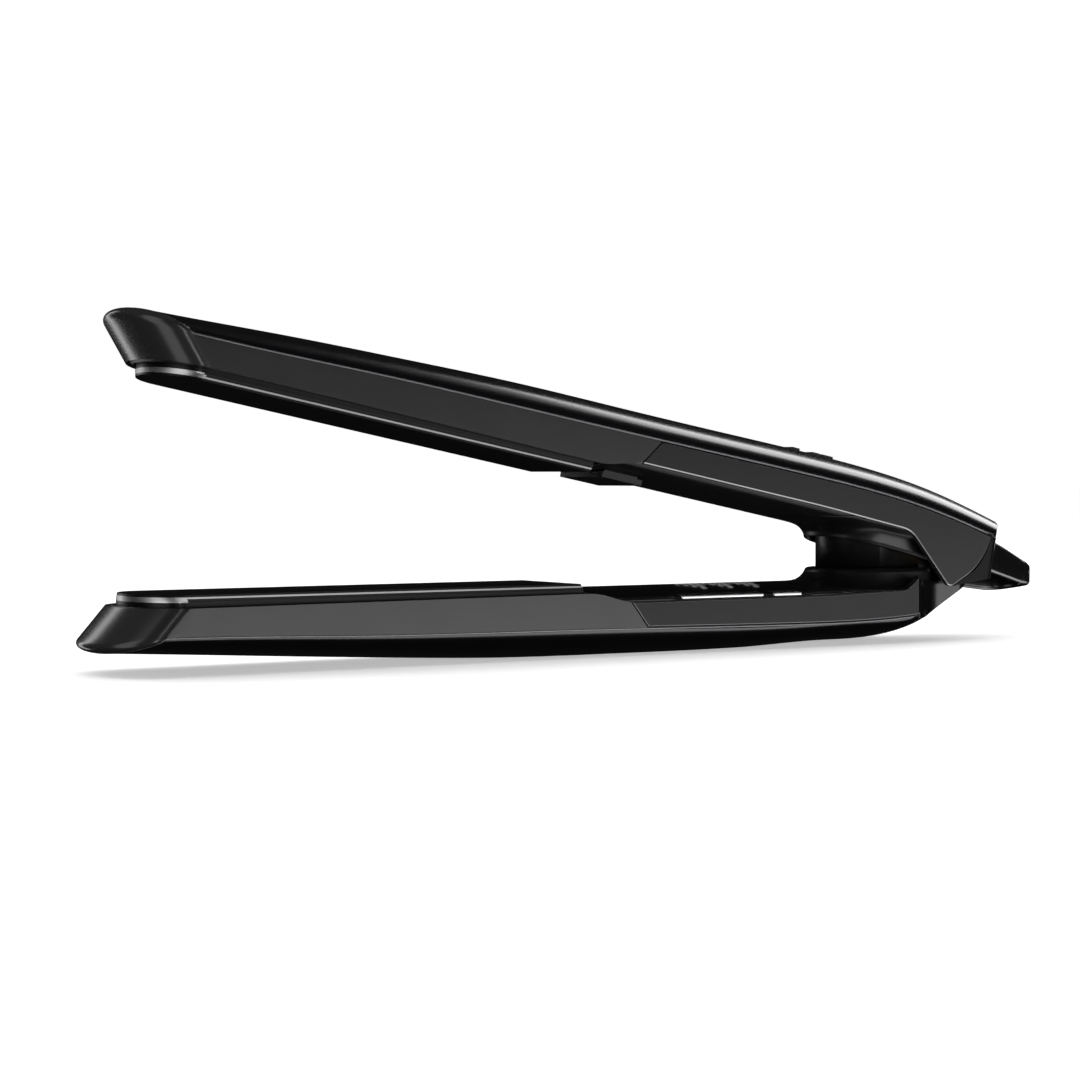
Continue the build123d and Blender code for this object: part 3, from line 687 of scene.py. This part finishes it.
# ------------------------------------------------------------------ inner faces of the arms
COVER_HALF = 15.7
COVER_CROWN = 2.95                           # rise of the cover from its edge to its middle
COVER_FRONT = 131.0
STRIP_REAR = 71.0                            # behind this the cover's sections follow the flare
RECESS_FRONT = 109.6                         # the push buttons' opening starts here
RECESS_Y = -13.6                             # and reaches from here to the near edge
FLARE_CENTRE = 54.3                          # where the cover starts to rise towards the collar
COLLAR = {       # reach of its round front, its hole's front and half width, rear ends, top depths
    "lower": {"centre": 41.7, "hole": (41.0, 10.1), "rear": (34.2, 26.0), "top": (-1.4, -1.4)},
    "upper": {"centre": 42.9, "hole": (43.6, 10.4), "rear": (26.0, 26.0), "top": (-0.7, -1.9)},
}
COLLAR_HALF = 12.4
FLARE_POWER = 9                              # high, so that the rise comes close to the collar
RIM_LEVELS = ((0.25, 0.35), (0.55, 0.1), (0.9, 0.0), (1.6, 0.1))    # inward, and below the top
HOLE_EDGE, HOLE_DEPTH = 0.45, 4.4            # the same for the top and foot of the hole's wall


def cover_depth(y):
    """Depth of a handle cover's shallow dome."""
    return PANEL_INNER - COVER_CROWN * math.sqrt(max(0.0, 1 - (y / COVER_HALF) ** 2))


def cover_strip(arm):
    """Shallow dome between the plate and the flare; the lower one is open for the buttons."""
    wide = [COVER_HALF * math.cos(a) for a in steps(0, math.pi - 0.523, 34)]    # to the recess
    ys = [y for y in wide if y > RECESS_Y + 0.4] + [RECESS_Y, -14.4, -15.2, -COVER_HALF]
    straight = steps(COVER_FRONT, RECESS_FRONT, 8) + steps(RECESS_FRONT, STRIP_REAR, 14)[1:]
    rows = [[at(arm, reach, y, cover_depth(y)) for y in ys] for reach in straight]
    last = [FLARE_CENTRE + math.sqrt(max(0.0, COVER_HALF ** 2 - y * y)) for y in ys]
    for t in steps(0, 1, 8)[1:]:
        rows.append([at(arm, STRIP_REAR + (reach - STRIP_REAR) * t, y, cover_depth(y))
                     for reach, y in zip(last, ys)])
    vertices, faces = grid(rows)
    if arm == "lower":
        near = ys.index(RECESS_Y)
        columns = len(ys)
        first = straight.index(RECESS_FRONT)
        faces = [f for f in faces if not (f[0] % columns >= near and f[0] // columns >= first
                                          and f[0] // columns < len(straight) - 1)]
    return vertices, faces


def bullet_ring(centre, half, rear):
    """Plan points of a ring with straight sides and a round front, far side first."""
    far_side = [(rear + (centre - rear) * t, half) for t in steps(0, 1, 12)[:-1]]
    front = [(centre + half * math.sin(a), half * math.cos(a)) for a in steps(0, math.pi, 60)]
    return far_side + front + [(reach, -y) for reach, y in reversed(far_side)]


def cover_flare(arm):
    """Concave rise from the cover to the collar, its rolled rim and the wall of its hole."""
    shape = COLLAR[arm]
    top = ramp([(60, shape["top"][0]), (26, shape["top"][1])])
    outer = bullet_ring(FLARE_CENTRE, COVER_HALF, shape["rear"][0])
    collar = bullet_ring(shape["centre"], COLLAR_HALF, shape["rear"][1])
    rings = []
    for u in steps(0, 1, 20):
        v = 1 - (1 - u) ** 2
        ring = []
        for (r0, y0), (r1, y1) in zip(outer, collar):
            reach, y = r0 + (r1 - r0) * v, y0 + (y1 - y0) * v
            depth = cover_depth(y)
            ring.append((reach, y, depth + (top(reach) + 1.0 - depth) * v ** FLARE_POWER))
        rings.append(ring)
    hole_centre, hole_half = shape["hole"]
    span = COLLAR_HALF - hole_half
    for inward, below in (*RIM_LEVELS, (span, HOLE_EDGE), (span, HOLE_DEPTH)):
        t = inward / span
        centre = shape["centre"] + (hole_centre - shape["centre"]) * t
        path = bullet_ring(centre, COLLAR_HALF - inward, shape["rear"][1])
        rings.append([(reach, y, top(reach) + below) for reach, y in path])
    return grid([[at(arm, *point) for point in ring] for ring in rings])


def handle_cover(arm):
    """Inner cover of a handle with its flared collar."""
    vertices, faces = join(cover_strip(arm), cover_flare(arm))
    piece = mesh_piece(arm + "_cover", arm + "_arm", [arm + "_inner_cover"],
                       vertices, faces, INNER)
    finish_mesh(piece, thick=0.9, toward=at(arm, 80, 0, 40))


def inset_point(outline, k, inset):
    """Point k of a closed outline, moved inward along its local normal."""
    if not inset:
        return outline[k]
    before, here, after = (Vector(outline[(k + d) % len(outline)]) for d in (-1, 0, 1))
    first = (here - before).normalized()
    second = (after - here).normalized()
    normal = Vector((first.y + second.y, -first.x - second.x)).normalized()
    scale = inset / max(0.5, Vector((first.y, -first.x)).dot(normal))
    return here.x - normal.x * scale, here.y - normal.y * scale


PLATE_HALF = 13.7
PLATE_SIDE_END = 235.5
PLATE_FRONT = 244.0
PLATE_LEVELS = [               # (depth, inset) from the face over the bevel to the buried edge
    (PLATE_FACE, 1.2), (0.34, 1.1), (0.8, 0.7), (1.15, 0.4), (1.55, 0.03), (1.6, 0.0),
    (1.9, 0.0), (3.3, 0.0),
]
HIGHLIGHT_FROM, HIGHLIGHT_TO = 0.75, 1.15              # depths between which the bevel gets bright metal as a painted highlight line
HIGHLIGHT_TO_FRONT = 1.9                          # the painted highlight band is wider round the front end


def plate_outline(drop):
    """Plan outline of a plate: square rear corners, half-elliptical front."""
    half = PLATE_HALF - drop
    length = PLATE_FRONT - PLATE_SIDE_END
    front = [(PLATE_SIDE_END + length * math.sin(a), half * math.cos(a))
             for a in steps(0, math.pi, 48)]
    return [(PLATE_REAR, half)] + front + [(PLATE_REAR, -half)]


def hot_plate(arm):
    """Coated plate: flat face, long bevels carrying a painted highlight line of bright metal, a wider one round
    the front end.
    """
    rows = [[at(arm, reach, y, depth) for reach, y in plate_outline(drop)]
            for depth, drop in PLATE_LEVELS]
    vertices, faces = capped_tube(rows)
    piece = mesh_piece(arm + "_hot_plate", arm + "_plate_float",
                       [arm + "_plate"], vertices, faces, PLATE)
    piece.data.materials.append(PLATE_EDGE_HIGHLIGHT)
    finish_mesh(piece, bevel=0.1, segments=2, angle=50)
    highlight_plate_edge(piece, arm)


def highlight_plate_edge(piece, arm):
    """Gives the plate's bevel faces between the highlight depths the bright metal that paints their highlight
    line.
    """
    outward = (at(arm, 0, 0, 1) - at(arm, 0, 0, 0)).normalized()
    front = at(arm, PLATE_SIDE_END, 0, 0).x
    base = at(arm, 0, 0, 0).dot(outward)
    for polygon in piece.data.polygons:
        depth = (polygon.center.dot(outward) - base) / MM
        deepest = HIGHLIGHT_TO_FRONT if polygon.center.x < front else HIGHLIGHT_TO
        upright = abs(polygon.normal.dot(outward)) < 0.97
        if upright and HIGHLIGHT_FROM < depth < deepest:
            polygon.material_index = 1


HOUSING_HALF = 10.0            # half width of the spring housing and its hinge barrel
HOUSING_CENTRE = 41.0          # centre of its round front
HOUSING_REAR = 28.0
PIN_REACH, PIN_DEPTH = 20.0, -1.9
BARREL_RADIUS = 4.5


def housing_bar(profile):
    """Bar across the housing from a side-view profile of (reach, depth)."""
    return capped_tube([[at("lower", reach, y, depth) for reach, depth in profile]
                        for y in (-HOUSING_HALF, HOUSING_HALF)])


def housing_walls(outline, levels):
    """Closed wall on a plan outline: levels are (depth, inset) and insets shrink it."""
    return capped_tube([[at("lower", *inset_point(outline, k, inset), depth)
                         for k in range(len(outline))] for depth, inset in levels])


def spring_housing():
    """Round-fronted housing between the arms, with softened rims, and its hinge barrel."""
    outline = [(HOUSING_REAR, HOUSING_HALF)]
    outline += [(HOUSING_CENTRE + HOUSING_HALF * math.sin(a), HOUSING_HALF * math.cos(a))
                for a in steps(0, math.pi, 64)]
    outline += [(HOUSING_REAR, -HOUSING_HALF)]
    levels = [(8.0, 0.0), (-13.9, 0.0), (-14.3, 0.18), (-14.5, 0.6)]
    walls = housing_walls(outline, levels)
    barrel = housing_bar([(PIN_REACH + BARREL_RADIUS * math.cos(a),
                           PIN_DEPTH + BARREL_RADIUS * math.sin(a))
                          for a in steps(0, 2 * math.pi, 40)[:-1]])
    web = housing_bar([(HOUSING_REAR, -6.4), (PIN_REACH, -6.4), (19.5, 4.0), (24.0, 5.6),
                       (HOUSING_REAR, 6.0)])
    vertices, faces = join(walls, barrel, web)
    piece = mesh_piece("spring_housing", "lower_arm", ["hinge_block"],
                       vertices, faces, INNER)
    finish_mesh(piece)


def block_mesh(reach, y, depth):
    """Box on the lower arm between pairs of reach, y and depth."""
    corners = [at("lower", r, v, d) for r in reach for v in y for d in depth]
    return corners, [(0, 1, 3, 2), (4, 5, 7, 6), (0, 1, 5, 4), (2, 3, 7, 6), (0, 2, 6, 4),
                     (1, 3, 7, 5)]


BUTTON_SPANS = {"temperature_rocker": (82.9, 107.7), "power_button": (71.0, 79.8)}


def push_buttons():
    """The two bright buttons in the near edge of the lower handle."""
    for name, span in BUTTON_SPANS.items():
        vertices, faces = block_mesh(span, (-15.75, -13.3), (3.6, 4.6))
        piece = mesh_piece(name + "_cap", name, [name], vertices, faces, BUTTON)
        finish_mesh(piece, bevel=0.3, segments=3)


DOT_FIRST = (99.6, -3.2)        # reach and y of the first dot
DOT_GROUP = 8.0                 # spacing of the three groups along the arm
DOT_SPACING = 1.9               # spacing of the dots in a row; the next row is shifted by half
ROW_SPACING = 2.2
DOT_HALF = (0.5, 0.62)          # half a dot's length and width
DOT_RISE = 0.28                 # how far the dots stand out of the cover


def outlet_dots():
    """Ion outlet: three groups of small studs in staggered rows, just proud of the cover."""
    pads = []
    for group in range(3):
        for row, count in enumerate((4, 3, 2, 1)):
            for index in range(count):
                reach = DOT_FIRST[0] - group * DOT_GROUP - (row / 2 + index) * DOT_SPACING
                y = DOT_FIRST[1] - row * ROW_SPACING
                pads.append(block_mesh((reach - DOT_HALF[0], reach + DOT_HALF[0]),
                                       (y - DOT_HALF[1], y + DOT_HALF[1]),
                                       (cover_depth(y) - DOT_RISE, 3.7)))
    plate = block_mesh((76.5, 102.0), (-8.4, 0.6), (3.6, 4.5))
    vertices, faces = join(plate, *pads)
    piece = mesh_piece("outlet_dots", "lower_arm", ["ion_grille"],
                       vertices, faces, GRILLE)
    finish_mesh(piece, weighted=False)


def inner_pieces():
    """Everything on the inner faces of the two arms."""
    for arm in ("lower", "upper"):
        handle_cover(arm)
        hot_plate(arm)
    spring_housing()
    push_buttons()
    outlet_dots()


# ------------------------------------------------------------------ stage, light and camera
def studio():
    """Faint even world and the camera, low and in front of the near side."""
    scene = bpy.context.scene
    world = bpy.data.worlds.new("studio")
    world.use_nodes = True
    world.node_tree.nodes["Background"].inputs["Color"].default_value = (1, 1, 1, 1)
    world.node_tree.nodes["Background"].inputs["Strength"].default_value = 0.006
    scene.world = world
    scene.view_settings.view_transform = "Standard"
    lens = bpy.data.cameras.new("camera")
    lens.lens = 83.3
    lens.sensor_width = 36.0
    lens.clip_start = 0.01
    camera = bpy.data.objects.new("camera", lens)
    camera.location = (-0.3464, -0.4950, 0.0424)
    heading = Vector((0.5469, 0.8367, -0.0257))
    camera.rotation_mode = "QUATERNION"
    camera.rotation_quaternion = heading.to_track_quat("-Z", "Y")
    scene.collection.objects.link(camera)
    scene.camera = camera


def glow(name, centre, aim, width, height, power):
    """Rectangular soft light that faces aim."""
    data = bpy.data.lights.new(name, "AREA")
    data.shape = "RECTANGLE"
    data.size = width
    data.size_y = height
    data.energy = power
    light = bpy.data.objects.new(name, data)
    light.location = centre
    light.rotation_mode = "QUATERNION"
    light.rotation_quaternion = (Vector(aim) - Vector(centre)).to_track_quat("-Z", "Y")
    light.visible_camera = False
    bpy.context.collection.objects.link(light)
    return light


def stage_sheet(name, vertices, faces, glow_strength):
    """Large plain stage piece that reflections of the object do not see."""
    mesh = bpy.data.meshes.new(name)
    mesh.from_pydata(vertices, [], faces)
    sheet = bpy.data.objects.new(name, mesh)
    bpy.context.collection.objects.link(sheet)
    material, _, surface = shader(name)
    surface.inputs["Base Color"].default_value = (0.9, 0.9, 0.9, 1)
    surface.inputs["Roughness"].default_value = 1.0
    surface.inputs["Specular IOR Level"].default_value = 0.0
    surface.inputs["Emission Color"].default_value = (1, 1, 1, 1)
    surface.inputs["Emission Strength"].default_value = glow_strength
    mesh.materials.append(material)
    sheet.visible_glossy = False
    sheet.visible_diffuse = False
    sheet.visible_shadow = False


def ground():
    """Pale floor and a plain round backdrop with a lid, far away on all sides."""
    far = 10.0
    stage_sheet("floor", [(-far, -far, 0), (far, -far, 0), (far, far, 0), (-far, far, 0)],
                [(0, 1, 2, 3)], 0.45)
    radius = far * 0.9
    count = 32
    ring = [(math.cos(a) * radius, math.sin(a) * radius)
            for a in steps(0, 2 * math.pi, count)[:-1]]
    vertices = [(x, y, z) for z in (-0.01, far) for x, y in ring]
    lid = tuple(range(count, 2 * count))
    stage_sheet("backdrop", vertices, grid_faces(2, count, closed=True) + [lid], 1.0)


def chosen(name, centre, power, lit):
    """Square card that only the named pieces see."""
    card = glow(name, centre, (0.0, 0.0, 0.04), 0.80, 0.80, power)
    seen_by = bpy.data.collections.new(name + "_pieces")
    for piece in lit:
        seen_by.objects.link(bpy.data.objects[piece])
    card.light_linking.receiver_collection = seen_by


def set_lights():
    """Cards and strips that each make one highlight, and an even sky for the shadow.

    The chosen cards make the highlights that would be too bright or too dark on other pieces."""
    glow("side_card", (0.52, -0.80, -0.19), (0.0, 0.0, 0.0), 0.80, 0.40, 2.6)
    glow("nose_card", (-1.00, -0.24, 0.05), (-0.12, 0, 0.04), 0.66, 2.20, 6.0)
    glow("nose_strip", (-0.28, -1.09, 0.04), (-0.13, 0, 0.04), 0.10, 0.90, 1.8)
    glow("rim_strip", (-0.33, 0.95, 0.05), (-0.12, 0, 0.04), 0.14, 1.20, 1.6)
    glow("rear_card", (1.10, 0.62, -0.16), (0.08, 0, 0.03), 0.30, 0.36, 1.3)
    glow("overhead", (1.10, 0.22, 0.74), (0.05, 0, 0.05), 0.66, 0.70, 6.4)
    chosen("low_card", (0.33, -0.12, -0.76), 2.0, ["upper_hot_plate", "upper_cover"])
    chosen("edge_card", (0.50, -0.40, -0.62), 7.0, ["upper_front_side", "upper_side_near"])
    chosen("loop_card", (0.60, -0.30, -0.60), 6.0, ["loop_band"])
    chosen("high_card", (0.25, -0.45, 0.85), 2.6, ["lower_hot_plate"])
    sky = bpy.data.lights.new("sky", "SUN")
    sky.energy = 2.1
    sky.angle = math.radians(75)
    overcast = bpy.data.objects.new("sky", sky)
    overcast.rotation_euler = (math.radians(-24), 0, 0)
    overcast.visible_glossy = False
    bpy.context.collection.objects.link(overcast)


dress_cad_nodes()
casing_pieces()
inner_pieces()
studio()
ground()
set_lights()
